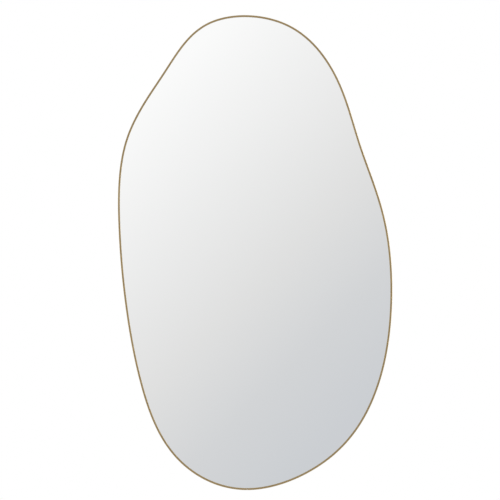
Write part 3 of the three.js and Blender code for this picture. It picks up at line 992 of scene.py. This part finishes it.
@dataclass
class Outline:
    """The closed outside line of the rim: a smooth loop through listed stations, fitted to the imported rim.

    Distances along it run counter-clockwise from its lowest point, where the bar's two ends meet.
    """

    stations: tuple[tuple[float, float], ...] = (
        (245, 0),  # lowest point
        (403, 61),
        (490, 187),
        (519, 342),  # widest place on the right
        (507, 509),
        (461, 651),  # into the hollow waist
        (416, 781),
        (319, 884),  # right shoulder
        (173, 887),  # left shoulder
        (85, 790),
        (14, 661),
        (1, 500),  # widest place on the left
        (14, 350),
        (43, 200),
        (108, 63),
    )
    divisions: int = 2880
    passes: int = 50  # in which the controls settle
    margin: float = 0.02 * MM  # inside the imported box
    controls: list[Vector] = field(init=False)
    ways: list[float] = field(init=False)

    def __post_init__(self) -> None:
        """Finds the loop's controls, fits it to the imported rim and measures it."""
        through = [Vector(station) for station in self.stations]
        count = len(through)
        self.controls = through
        for _ in range(self.passes):
            before = self.controls
            self.controls = [
                (6 * through[i] - before[i - 1] - before[(i + 1) % count]) / 4 for i in range(count)
            ]
        self._fit()
        points = [self.point(i / self.divisions) for i in range(self.divisions + 1)]
        self.ways = [0.0]
        for start, end in zip(points, points[1:]):
            self.ways.append(self.ways[-1] + (end - start).length)

    @property
    def length(self) -> float:
        """The whole way round."""
        return self.ways[-1]

    def _fit(self) -> None:
        """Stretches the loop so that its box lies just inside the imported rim's."""
        rim_low, rim_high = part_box("rim")
        low = Vector((rim_low[0] + self.margin, rim_low[2] + self.margin))
        high = Vector((rim_high[0] - self.margin, rim_high[2] - self.margin))
        across = list(zip(*(self.point(i / self.divisions) for i in range(self.divisions))))
        first, last = list(map(min, across)), list(map(max, across))
        scales = [(high[i] - low[i]) / (last[i] - first[i]) for i in (0, 1)]
        self.controls = [
            Vector([low[i] + (control[i] - first[i]) * scales[i] for i in (0, 1)])
            for control in self.controls
        ]

    def _weighed(self, t: float, weights: Callable[[float], Sequence[float]]) -> Vector:
        """The four controls near a place on the loop, weighed.

        Args:
            t: The share of the loop's parameter.
            weights: Says how much each of the four counts.

        Returns:
            Their weighed sum.
        """
        count = len(self.controls)
        along = (t % 1.0) * count
        first = int(along) % count
        total = Vector((0.0, 0.0))
        for i, weight in enumerate(weights(along - int(along))):
            total += weight * self.controls[(first + i - 1) % count]
        return total

    def point(self, t: float) -> Vector:
        """The loop's place at a share of its parameter."""
        return self._weighed(t, place_weights)

    def heading(self, t: float) -> Vector:
        """The loop's direction at a share of its parameter."""
        return self._weighed(t, heading_weights).normalized()

    def parameter(self, way: float) -> float:
        """Turns a distance into a parameter.

        Args:
            way: The distance along the loop.

        Returns:
            The share of the loop's parameter.
        """
        along = way % self.length
        i = min(max(bisect.bisect_right(self.ways, along) - 1, 0), self.divisions - 1)
        part = (along - self.ways[i]) / (self.ways[i + 1] - self.ways[i])
        return (i + part) / self.divisions

    def at(self, way: float, inset: float = 0.0, level: float = 0.0) -> Vector:
        """A place on the rim.

        Args:
            way: The distance along the loop.
            inset: How far inwards from it.
            level: How far out of the wall.

        Returns:
            The place, in drawing coordinates.
        """
        t = self.parameter(way)
        point, heading = self.point(t), self.heading(t)
        return Vector((point.x - heading.y * inset, point.y + heading.x * inset, level))

    def turn(self, way: float) -> float:
        """The angle of the loop's direction at a distance along it."""
        heading = self.heading(self.parameter(way))
        return math.atan2(heading.y, heading.x)

    def bend(self, piece: Workpiece) -> None:
        """Bends a straight piece round the outline: x runs along it, y inwards and z out of the wall."""
        piece.note_place()
        piece.move_corners(lambda corner: self.at(*corner))


@dataclass
class Levels:
    """How far each layer stands out of the wall."""

    seat: float = 0.3 * MM  # gap between pieces that touch
    bumper_height: float = 1.7 * MM
    leg_thickness: float = 1.2 * MM
    channel_width: float = 5.5 * MM
    spring_space: float = 2.8 * MM
    board_thickness: float = 5.0 * MM
    foam_thickness: float = 1.0 * MM
    glass_thickness: float = 4.0 * MM
    lip_thickness: float = 1.4 * MM

    def __post_init__(self) -> None:
        """Adds the layers up, from the wall to the front."""
        self.rim_back = self.bumper_height + self.seat
        self.flange_front = self.rim_back + self.leg_thickness
        self.rib_back = self.flange_front + self.channel_width
        self.rib_front = self.rib_back + self.leg_thickness
        self.board_back = self.rib_front + self.spring_space
        self.foam_back = self.board_back + self.board_thickness + self.seat
        self.glass_back = self.foam_back + self.foam_thickness + self.seat
        self.lip_back = self.glass_back + self.glass_thickness + self.seat
        self.rim_front = self.lip_back + self.lip_thickness


# ---------------- the rim and its splice


@dataclass
class Rim:
    """The extruded bar, modelled straight and bent round the outline, with its splice and set screws."""

    outline: Outline
    levels: Levels
    wall: float = 1.4 * MM
    lip_width: float = 3.5 * MM
    leg_width: float = 8.0 * MM
    return_thickness: float = 1.0 * MM
    return_height: float = 1.2 * MM
    front_radius: float = 0.6 * MM
    lip_chamfer: float = 0.3 * MM
    die_radius: float = 0.14 * MM  # on every other corner of the section
    joint_gap: float = 0.3 * MM
    bar_cuts: tuple[int, int] = (19, 23)  # each stretch of the first cut is cut again by the second
    splice_cuts: int = 37
    splice_length: float = 70.0 * MM
    splice_thickness: float = 3.0 * MM
    drill_reach: float = 10.0 * MM  # to either side of the splice's inner face
    screw_diameter: float = 3.0 * MM
    screw_end_margin: float = 7.0 * MM
    screw_spacing: float = 16.0 * MM
    screw_chamfer: float = 0.16 * MM
    screw_edge: float = 0.05 * MM  # the rounding of its other edges
    socket_across_flats: float = 1.5 * MM
    socket_depth: float = 2.0 * MM

    def __post_init__(self) -> None:
        """Works out where the splice's inner face and the set screws are."""
        self.splice_inset = self.leg_width - self.return_thickness - self.levels.seat
        self.screw_level = (self.levels.flange_front + self.levels.rib_back) / 2
        outer = self.splice_length / 2 - self.screw_end_margin
        inner = outer - self.screw_spacing
        self.screw_ways = [-outer, -inner, inner, outer]  # from the joint

    def build(self) -> None:
        """Builds and dresses the rim, the splice and the set screws."""
        self._build_bar()
        self._build_splice()
        self._build_set_screws()

    def _build_bar(self) -> None:
        """The bar, from a straight side wall whose lip and legs are extruded."""
        levels = self.levels
        start, end = self.joint_gap / 2, self.outline.length - self.joint_gap / 2
        bar = Workpiece.block("rim", (start, 0, levels.rim_back), (end, self.wall, levels.rim_front))
        for level in (levels.flange_front, levels.rib_back, levels.rib_front, levels.lip_back):
            bar.slice(level)

        def pick_tip(low: float, high: float, inset: float) -> None:
            """Picks the face that ends a leg or the lip."""
            bar.pick_facing(UP, lambda spot: is_near(spot.y, inset) and low < spot.z < high)

        pick_tip(levels.lip_back, levels.rim_front, self.wall)
        bar.extrude((0, self.lip_width - self.wall, 0))
        return_face = self.leg_width - self.return_thickness
        for low, high in ((levels.rib_back, levels.rib_front), (levels.rim_back, levels.flange_front)):
            pick_tip(low, high, self.wall)
            bar.extrude((0, return_face - self.wall, 0))
            pick_tip(low, high, return_face)
            bar.extrude((0, self.return_thickness, 0))
        for level, way in ((levels.rib_back, -1.0), (levels.flange_front, 1.0)):
            bar.pick_facing(way * OUT, lambda spot: is_near(spot.z, level) and spot.y > return_face)
            bar.extrude((0, 0, way * self.return_height))
        bar.join_flats()

        for inset, width, segments in ((0.0, self.front_radius, 6), (self.lip_width, self.lip_chamfer, 3)):
            bar.pick_along(RIGHT, lambda spot: is_near(spot.y, inset) and is_near(spot.z, levels.rim_front))
            bar.bevel(width, segments)
        bar.pick(Part.EDGES, lambda edge: runs_along(edge, RIGHT) and is_sharp(edge))
        bar.bevel(self.die_radius, 2)
        for cuts in self.bar_cuts:
            bar.pick_along(RIGHT)
            bar.divide(cuts)
        self.outline.bend(bar)
        bar.dress(ChampagneAnodised())
        bar.finish("rim_metal")

    def _build_splice(self) -> None:
        """The bar in the channel that bridges the joint."""
        seat, half, inner = self.levels.seat, self.splice_length / 2, self.splice_inset
        low = (-half, inner - self.splice_thickness, self.levels.flange_front + seat)
        bar = Workpiece.block("rim_splice", low, (half, inner, self.levels.rib_back - seat))
        bar.pick_along(RIGHT)
        bar.divide(self.splice_cuts)
        for way in self.screw_ways:
            radius, spot = self.screw_diameter / 2 + seat, (way, inner, self.screw_level)
            bar.drill(radius, spot, -self.drill_reach, self.drill_reach, lean=QUARTER)
        bar.break_edges(self.die_radius)
        self.outline.bend(bar)
        bar.dress(BrightZinc())
        bar.finish("zinc_plate")

    def _build_set_screws(self) -> None:
        """Four grub screws with a hexagon socket, whose tips bear on the side wall."""
        radius, tip = self.screw_diameter / 2, self.wall + self.levels.seat
        length = self.splice_inset - tip
        screw = Workpiece.rod("set_screw", radius, 0.0, length)
        screw.pick_sharp(0.0)
        screw.bevel(radius / 2, 1)
        screw.pick_sharp(length)
        screw.bevel(self.screw_chamfer, 2)
        flats = 6
        socket_radius = self.socket_across_flats / 2 / math.cos(math.pi / flats)
        socket_floor = length - self.socket_depth
        screw.cut_away(Workpiece.rod("socket", socket_radius, socket_floor, length + MM, flats))
        screw.break_edges(self.screw_edge, 1, 60.0)
        screw.dress(BlackOxide())
        screw.place((0, 0, 0), lean=-QUARTER)
        for number, way in enumerate(self.screw_ways, 1):
            spot = self.outline.at(way, tip, self.screw_level)
            screw.set_out(f"splice_screw_{number}", "black_oxide", spot, self.outline.turn(way))
        screw.put_away()


# ---------------- the hangers


@dataclass
class Hangers:
    """Two folded straps on the board, their screws, and the D-rings that swing in them."""

    levels: Levels
    spacing: float = 280.0 * MM
    wire_diameter: float = 2.8 * MM
    ring_inner_width: float = 20.0 * MM
    ring_straight: float = 4.0 * MM
    ring_corner: float = 3.0 * MM
    ring_joint_gap: float = 0.4 * MM
    ring_edge: float = 0.16 * MM  # the rounding of the wire's ends
    wire_sides: int = 28
    corner_steps: int = 8
    round_steps: int = 44
    strap_depth: float = 2.0 * MM  # both layers
    strap_sheet: float = 0.96 * MM  # one layer, a hair under half of the depth
    strap_clearance: float = 1.4 * MM
    strap_end_radius: float = 4.0 * MM
    strap_end_margin: float = 8.0 * MM
    strap_edge: float = 0.13 * MM
    knuckle_clearance: float = 0.35 * MM
    knuckle_steps: int = 40
    fold_radius: float = 0.35 * MM  # in the hollow where the knuckle meets the outer layer
    fold_steps: int = 8
    screw_diameter: float = 3.5 * MM
    screw_spacing: float = 16.0 * MM
    screw_point_cover: float = 1.1 * MM
    screw_tip: float = 0.08  # the tip's share of the screw's width
    screw_edge: float = 0.07 * MM
    screw_turns: tuple[float, ...] = (58.0, 95.0, 101.0, 138.0)  # degrees, as they were driven
    head_diameter: float = 7.0 * MM
    head_height: float = 2.2 * MM
    head_dome: float = 0.86  # the rounding's share of its height
    head_clearance: float = 3.0 * MM
    recess_width: float = 0.9 * MM
    recess_span: float = 3.8 * MM
    recess_depth: float = 1.2 * MM
    recess_taper: float = 0.62  # its floor's share of the cutter's full width

    def __post_init__(self) -> None:
        """Works out what follows from the sizes."""
        levels = self.levels
        self.places = {"left": -self.spacing / 2, "right": self.spacing / 2}
        self.wire_radius = self.wire_diameter / 2
        # From the middle of the ring to the middle of its wire, at the side and at the round end
        self.ring_half_width = self.ring_inner_width / 2 + self.wire_radius
        self.ring_drop = self.ring_straight + self.ring_half_width
        self.knuckle_radius = self.wire_radius + self.knuckle_clearance + self.strap_depth / 2
        # The strap leaves the ring's corners free
        self.strap_width = 2 * (self.ring_half_width - self.ring_corner - self.strap_clearance)
        first_screw = self.ring_drop + self.wire_radius + self.head_clearance + self.head_diameter / 2
        self.screw_drops = [first_screw, first_screw + self.screw_spacing]
        self.strap_length = self.screw_drops[-1] + self.strap_end_margin
        # A raised ring bears on its hook at height 0
        self.pivot_height = self.wire_radius - self.ring_drop
        self.strap_level = levels.board_back - levels.seat
        self.head_level = self.strap_level - self.strap_depth - levels.seat
        board_front = levels.board_back + levels.board_thickness
        self.screw_length = board_front - self.screw_point_cover - self.head_level
        self.hole_radius = self.screw_diameter / 2 + levels.seat
        self.hole_depth = self.head_level + self.screw_length + levels.seat - levels.board_back

    def screw_spots(self, level: float) -> list[Vector]:
        """The middle of each screw at a level, the left hanger's first."""
        places, drops = self.places.values(), self.screw_drops
        return [Vector((x, self.pivot_height - drop, level)) for x in places for drop in drops]

    def build(self) -> None:
        """Builds and dresses the straps, the screws and the rings."""
        self._build_straps()
        self._build_screws()
        self._build_rings()

    def _build_straps(self) -> None:
        """Each strap is one sheet: up the board, round the ring's bar and down over itself."""
        half, sheet, length = self.strap_width / 2, self.strap_sheet, self.strap_length
        mid_radius = self.knuckle_radius - sheet / 2
        outer_layer = self.strap_depth - sheet / 2
        fold = self.fold_radius + sheet / 2
        off_axis = outer_layer + fold - self.knuckle_radius
        fold_drop = math.sqrt((mid_radius + fold) ** 2 - off_axis**2)
        past_straight = math.degrees(math.atan2(-off_axis, fold_drop))
        strap = Workpiece.block("strap", (-half, -length, -sheet), (half, 0, 0))
        strap.pick_facing(UP)
        strap.spin((0, 0, -self.knuckle_radius), -RIGHT, 270.0 + past_straight, self.knuckle_steps)
        fold_centre = (0, -fold_drop, -(outer_layer + fold))
        strap.spin(fold_centre, RIGHT, 90.0 + past_straight, self.fold_steps)
        strap.extrude((0, fold_drop - length, 0))
        strap.face_outwards()
        strap.pick_along(OUT, lambda spot: is_near(spot.y, -length) and is_near(abs(spot.x), half))
        strap.bevel(self.strap_end_radius, 8)
        for drop in self.screw_drops:
            strap.drill(self.hole_radius, (0, -drop, 0), -2 * self.strap_depth, self.strap_depth)
        strap.break_edges(self.strap_edge)
        strap.dress(BrightZinc())
        for side, x in self.places.items():
            spot = Vector((x, self.pivot_height, self.strap_level))
            strap.set_out(f"hanger_strap_{side}", "zinc_plate", spot)
        strap.put_away()

    def _build_screws(self) -> None:
        """Pan-head screws with a cross recess, whose heads are towards the wall."""
        radius, head_radius, head = self.screw_diameter / 2, self.head_diameter / 2, self.head_height
        screw = Workpiece.rod("screw", head_radius, -head, 0.0)
        screw.pick_sharp(-head)
        screw.bevel(self.head_dome * head, 7)
        screw.pick_facing(OUT)
        screw.inset(head_radius - radius)
        screw.extrude((0, 0, self.screw_length - radius))
        screw.extrude((0, 0, radius))
        screw.shrink(self.screw_tip)
        across, along, depth = self.recess_width / 2, self.recess_span / 2, self.recess_depth
        for turn in (0.0, QUARTER):
            slot = Workpiece.block("slot", (-along, -across, -head - depth), (along, across, -head + depth))
            slot.pick_facing(OUT)
            slot.shrink(self.recess_taper)
            slot.place((0, 0, 0), turn)
            screw.cut_away(slot)
        screw.break_edges(self.screw_edge, 2, 45.0)
        screw.dress(BrightZinc())
        names = [f"hanger_screw_{side}_{number}" for side in self.places for number in (1, 2)]
        for name, spot, degrees in zip(names, self.screw_spots(self.head_level), self.screw_turns):
            screw.set_out(name, "zinc_plate", spot, math.radians(degrees))
        screw.put_away()

    def _build_rings(self) -> None:
        """Each ring is one wire, bent from the middle of its bar round the D and back."""
        half, corner, straight = self.ring_half_width, self.ring_corner, self.ring_straight
        gap = self.ring_joint_gap / 2
        ring = Workpiece.disc("ring", self.wire_radius, self.wire_sides, (gap, 0, 0), (0, QUARTER, 0))
        ring.pick_all()
        ring.extrude((half - corner - gap, 0, 0))
        ring.spin((half - corner, -corner, 0), -OUT, 90.0, self.corner_steps)
        ring.extrude((0, corner - straight, 0))
        ring.spin((0, -straight, 0), -OUT, 180.0, self.round_steps)
        ring.extrude((0, straight - corner, 0))
        ring.spin((corner - half, -corner, 0), -OUT, 90.0, self.corner_steps)
        ring.extrude((half - corner - gap, 0, 0))
        ring.face_outwards()
        ring.break_edges(self.ring_edge, 3, 60.0)
        ring.dress(BrightZinc())
        # A hanging ring leans on the strap's edges, where its round end crosses them
        crossing = straight + math.sqrt(half**2 - (self.strap_width / 2) ** 2) - self.wire_radius
        lean = math.asin(
            (self.strap_depth + self.levels.seat + self.wire_radius - self.knuckle_radius) / crossing
        )
        for side, x in self.places.items():
            spot = Vector((x, self.pivot_height, self.strap_level - self.knuckle_radius))
            ring.set_out(f"hanger_ring_{side}", "zinc_plate", spot, lean=lean, body=Body(f"{side}_ring"))
        ring.put_away()


# ---------------- the glass and what is behind it


@dataclass
class GlassStack:
    """The silvered sheet, the foam, the board and the spring clips that press them forward."""

    rim: Rim
    hangers: Hangers
    glass_clearance: float = 0.5 * MM
    foam_clearance: float = 6.0 * MM
    board_clearance: float = 0.8 * MM
    glass_arris: float = 0.5 * MM
    board_arris: float = 0.35 * MM
    foam_round: float = 0.3 * MM
    sides: int = 480
    blank_radius: float = 0.3  # of the disc that a plate is drawn from
    clip_count: int = 8
    clip_length: float = 46.0 * MM
    clip_width: float = 10.0 * MM
    clip_thickness: float = 0.6 * MM
    clip_corner: float = 1.6 * MM
    clip_edge: float = 0.1 * MM
    clip_steps: int = 12  # from the middle to either end

    def build(self) -> None:
        """Builds and dresses the stack from the front to the back."""
        self._build_glass()
        self._build_foam()
        self._build_board()
        self._build_clips()

    def _plate(
        self, name: str, clearance: float, level: float, thickness: float, rounding: float, segments: int
    ) -> Workpiece:
        """A plate of the outline's shape.

        Args:
            name: The piece's name.
            clearance: The gap between its edge and the rim's side wall.
            level: Its rear face.
            thickness: Its thickness.
            rounding: How far in both outside edges are rounded.
            segments: How many facets each rounding has.

        Returns:
            The plate.
        """
        plate = Workpiece.disc(name, self.blank_radius, self.sides)
        outline = self.rim.outline
        for i, corner in enumerate(plate.object.data.vertices):
            corner.co = outline.at(i * (outline.length / self.sides), self.rim.wall + clearance, level)
        plate.pick_all()
        plate.extrude((0, 0, thickness))
        plate.face_outwards()
        plate.pick_sharp()
        plate.bevel(rounding, segments)
        return plate

    def _build_glass(self) -> None:
        """The sheet, with its face, its ground edge and its painted back dressed apart."""
        level, thickness = self.rim.levels.glass_back, self.rim.levels.glass_thickness
        glass = self._plate("mirror_glass", self.glass_clearance, level, thickness, self.glass_arris, 1)
        glass.dress(SilveredGlass())
        glass.dress(GroundGlassEdge(), lambda face: not looks(face, OUT))
        glass.dress(MirrorBackPaint(), lambda face: looks(face, -OUT))
        glass.finish("mirror_glass", smooth_degrees=20.0, weighted=False)

    def _build_foam(self) -> None:
        """The thin sheet between the glass and the board."""
        level, thickness = self.rim.levels.foam_back, self.rim.levels.foam_thickness
        foam = self._plate("foam_sheet", self.foam_clearance, level, thickness, self.foam_round, 3)
        foam.dress(ClosedCellFoam())
        foam.finish("foam")

    def _build_board(self) -> None:
        """The board, with a blind hole for each hanger screw."""
        level, thickness = self.rim.levels.board_back, self.rim.levels.board_thickness
        board = self._plate("backing_board", self.board_clearance, level, thickness, self.board_arris, 2)
        radius, depth = self.hangers.hole_radius, self.hangers.hole_depth
        for spot in self.hangers.screw_spots(level):
            board.drill(radius, spot, -depth, depth)
        board.dress(BrownFibreboard())
        board.finish("fibreboard")

    def _build_clips(self) -> None:
        """Bowed strips between the rib and the board."""
        outline, levels = self.rim.outline, self.rim.levels
        rise = levels.spring_space - 2 * levels.seat - self.clip_thickness
        half = self.clip_length / 2
        radius = (half**2 + rise**2) / (2 * rise)
        reach = math.degrees(math.asin(half / radius))
        bow_centre = (0, 0, rise - radius)
        seed = 0.2 * MM  # the length of the block that the strip grows from

        strip = Workpiece.block("clip", (0, 0, rise), (seed, self.clip_width, rise + self.clip_thickness))
        strip.pick_facing(RIGHT)
        strip.spin(bow_centre, UP, reach - math.degrees(seed / radius), self.clip_steps)
        strip.pick_facing(-RIGHT)
        strip.spin(bow_centre, -UP, reach, self.clip_steps)
        strip.face_outwards()

        def is_corner(edge: bmesh.types.BMEdge) -> bool:
            """Whether an edge stands on a corner of the strip."""
            return is_sharp(edge) and abs(middle(edge).x) > half - seed and not runs_along(edge, UP)

        strip.pick(Part.EDGES, is_corner)
        strip.bevel(self.clip_corner, 5)
        strip.break_edges(self.clip_edge)
        strip.dress(SpringSteel())
        for i in range(self.clip_count):
            way = outline.length * (i + 0.5) / self.clip_count
            spot, turn = outline.at(way), outline.turn(way)
            inwards = Vector((-math.sin(turn), math.cos(turn), 0))
            bulge = max(0.0, *((outline.at(way + offset) - spot).dot(inwards) for offset in (-half, half)))
            inset = self.rim.wall + self.glass_clearance + bulge
            spot = outline.at(way, inset, levels.rib_front + levels.seat)
            strip.set_out(f"spring_clip_{i + 1}", "spring_steel", spot, turn)
        strip.put_away()


# ---------------- the bumpers


@dataclass
class Bumpers:
    """Four soft pads on the rim's rear flange, which rest on the wall."""

    rim: Rim
    margin: float = 0.8 * MM
    edge_round: float = 0.4 * MM  # towards the wall
    flange_edge: float = 0.08 * MM
    sides: int = 48
    places: tuple[tuple[str, float], ...] = (
        ("lower_right", 0.1),
        ("upper_right", 0.39),
        ("upper_left", 0.61),
        ("lower_left", 0.9),
    )

    def build(self) -> None:
        """Builds and dresses the bumpers."""
        outline, inset = self.rim.outline, self.rim.leg_width / 2
        pad = Workpiece.rod("pad", inset - self.margin, 0.0, self.rim.levels.bumper_height, self.sides)
        pad.pick_sharp(0.0)
        pad.bevel(self.edge_round, 5)
        pad.break_edges(self.flange_edge)
        pad.dress(ClearRubber())
        for name, share in self.places:
            pad.set_out(f"wall_bumper_{name}", "clear_rubber", outline.at(share * outline.length, inset))
        pad.put_away()


# ---------------- the studio


@dataclass(frozen=True)
class SoftBox:
    """An area light that the camera doesn't see."""

    name: str
    position: Triple
    width: float
    height: float
    watts: float
    colour: Triple = (1.0, 1.0, 1.0)

    def build(self, aim: Vector) -> None:
        """Sets the light up.

        Args:
            aim: Where it points.
        """
        made = bpy.data.lights.new(self.name, "AREA")
        made.shape = "RECTANGLE"
        made.size, made.size_y = self.width, self.height
        made.energy, made.color = self.watts, self.colour
        lamp = bpy.data.objects.new(self.name, made)
        bpy.context.scene.collection.objects.link(lamp)
        lamp.location = self.position
        lamp.rotation_euler = (aim - Vector(self.position)).to_track_quat("-Z", "Y").to_euler()
        lamp.visible_camera = False


@dataclass
class Studio:
    """A plain white studio: the room's light, soft boxes, a pale floor and the camera."""

    lens: float = 150.0
    sensor: float = 36.0
    picture_pixels: float = 500.0
    frame_width: float = 947.2 * MM  # of the picture, at the rim's front face
    aim: Triple = (-5.4 * MM, 0.0, -215.1 * MM)
    front_face: float = -25.0 * MM
    floor_height: float = -1.75
    floor_radius: float = 5.0
    floor_sides: int = 96
    floor_tones: tuple[Colour, Colour] = (paint(0.93, 0.93, 0.93), paint(0.95, 0.95, 0.95))
    floor_fade: tuple[float, float] = (1.2, 4.7)  # between which it turns clear, from its middle
    boxes: tuple[SoftBox, ...] = (
        SoftBox("right_box", (3.5, -0.5, 0.3), 2.2, 3.0, 88.0, (1.0, 0.99, 0.975)),
        SoftBox("left_box", (-3.5, -0.55, -0.5), 2.0, 2.2, 34.0),
        SoftBox("top_box", (0.9, -2.2, 3.2), 2.4, 1.8, 26.0),
        SoftBox("rear_box", (-1.9, 3.0, 2.3), 3.0, 3.0, 44.0),
        SoftBox("rear_low_box", (2.8, 2.2, -0.4), 1.0, 2.2, 16.0, (0.97, 0.985, 1.0)),
    )
    # What the mirror's face shows from its upper left to its lower right: white, then greys that turn cooler
    room_tones: tuple[tuple[float, Colour], ...] = (
        (0.00, (1.060, 1.060, 1.060, 1.0)),
        (0.14, (1.030, 1.030, 1.030, 1.0)),
        (0.56, (0.796, 0.796, 0.796, 1.0)),
        (0.72, (0.697, 0.708, 0.724, 1.0)),
        (0.88, (0.644, 0.664, 0.694, 1.0)),
        (1.00, (0.638, 0.658, 0.688, 1.0)),
    )
    tone_reach: float = 2.5  # hundreds of pixels from the middle of the picture to either end of those tones
    near_tone: Colour = paint(0.775, 0.777, 0.785)  # round the camera, past those tones
    # To the sides and behind, from straight down to straight up
    side_tones: tuple[tuple[float, Colour], ...] = (
        (0.0, paint(0.70, 0.70, 0.71)),
        (0.5, paint(0.86, 0.862, 0.87)),
        (1.0, paint(0.96, 0.96, 0.965)),
    )
    # How squarely forward a direction is where the sides turn to the near tone, and that to the room tones
    near_band: tuple[float, float] = (0.60, 0.84)
    front_band: tuple[float, float] = (0.95, 0.988)
    least_forward: float = 0.05  # so that the slopes across the picture stay finite

    @property
    def distance(self) -> float:
        """From the camera to the rim's front face."""
        return self.frame_width * self.lens / self.sensor

    def build(self) -> None:
        """Sets the studio up."""
        scene = bpy.context.scene
        scene.view_settings.view_transform = "Standard"
        scene.view_settings.look = "None"
        self._light_room()
        self._lay_floor()
        for box in self.boxes:
            box.build(Vector(self.aim))
        self._set_camera()

    def _light_room(self) -> None:
        """White to the camera. Elsewhere a soft room, whose tones the mirror's face shows."""
        world = bpy.data.worlds.new("studio_room")
        bpy.context.scene.world = world
        world.use_nodes = True
        bench = ShaderBench(world.node_tree)
        across, depth, upwards = bench.axes(bench.node("ShaderNodeTexCoord", {}, {}, "Generated"))
        forward = 0.0 - depth
        ahead = bench.node("ShaderNodeMath", {"operation": "MAXIMUM"}, {0: forward, 1: self.least_forward})
        to_hundreds = self.distance / (self.frame_width / self.picture_pixels) / 100.0
        diagonal = (across - upwards) / ahead * (to_hundreds / math.sqrt(2.0))
        front = bench.ramp(diagonal, -self.tone_reach, self.tone_reach, self.room_tones)
        side = bench.ramp(upwards, -1.0, 1.0, self.side_tones)
        room = bench.blend(bench.step(forward, *self.near_band), side, self.near_tone)
        room = bench.blend(bench.step(forward, *self.front_band), room, front)
        seen = bench.node("ShaderNodeLightPath", {}, {}, "Is Camera Ray")
        colour = bench.blend(seen, room, (1.0, 1.0, 1.0, 1.0))
        shine = bench.node("ShaderNodeBackground", {}, {"Color": colour, "Strength": 1.0})
        bench.node("ShaderNodeOutputWorld", {}, {"Surface": shine})

    def _lay_floor(self) -> None:
        """A pale floor well below the mirror, which fades into the white of the studio."""
        floor = Workpiece.disc("floor", self.floor_radius, self.floor_sides, (0, 0, self.floor_height))
        floor.pick_all()
        floor.inset(self.floor_radius / 3)
        made = bpy.data.materials.new("PaleFloor")
        made.use_nodes = True
        bench = ShaderBench(made.node_tree)
        place = bench.node("ShaderNodeTexCoord", {}, {}, "Object")
        tone = bench.blend(bench.noise(place, 60.0, 3.0), *self.floor_tones)
        matt = bench.node("ShaderNodeBsdfPrincipled", {}, {"Base Color": tone, "Roughness": 0.7})
        clear = bench.node("ShaderNodeBsdfTransparent", {}, {})
        flat = bench.stretched(place, (1.0, 1.0, 0.0))
        from_middle = bench.node("ShaderNodeVectorMath", {"operation": "LENGTH"}, {0: flat}, "Value")
        fade = bench.step(from_middle, *self.floor_fade)
        faded = bench.node("ShaderNodeMixShader", {}, {0: fade, 1: matt, 2: clear})
        under = bench.node("ShaderNodeNewGeometry", {}, {}, "Backfacing")
        sided = bench.node("ShaderNodeMixShader", {}, {0: under, 1: faded, 2: clear})
        bench.node("ShaderNodeOutputMaterial", {}, {"Surface": sided})
        floor.clear_bench()
        floor.object.data.materials.append(made)

    def _set_camera(self) -> None:
        """A long lens, level and square to the mirror."""
        made = bpy.data.cameras.new("camera")
        made.lens, made.sensor_width = self.lens, self.sensor
        made.clip_start, made.clip_end = 0.1, 100.0
        camera = bpy.data.objects.new("camera", made)
        bpy.context.scene.collection.objects.link(camera)
        camera.location = (self.aim[0], self.front_face - self.distance, self.aim[2])
        camera.rotation_euler = (QUARTER, 0, 0)
        bpy.context.scene.camera = camera


def main() -> None:
    """Builds the studio and the mirror's sub-assemblies, in order."""
    logging.basicConfig(level=logging.INFO, format="%(name)s %(message)s")
    levels = Levels()
    rim, hangers = Rim(Outline(), levels), Hangers(levels)
    for assembly in (Studio(), rim, GlassStack(rim, hangers), hangers, Bumpers(rim)):
        log.info("building %s", type(assembly).__name__)
        assembly.build()


if __name__ == "__main__":
    main()
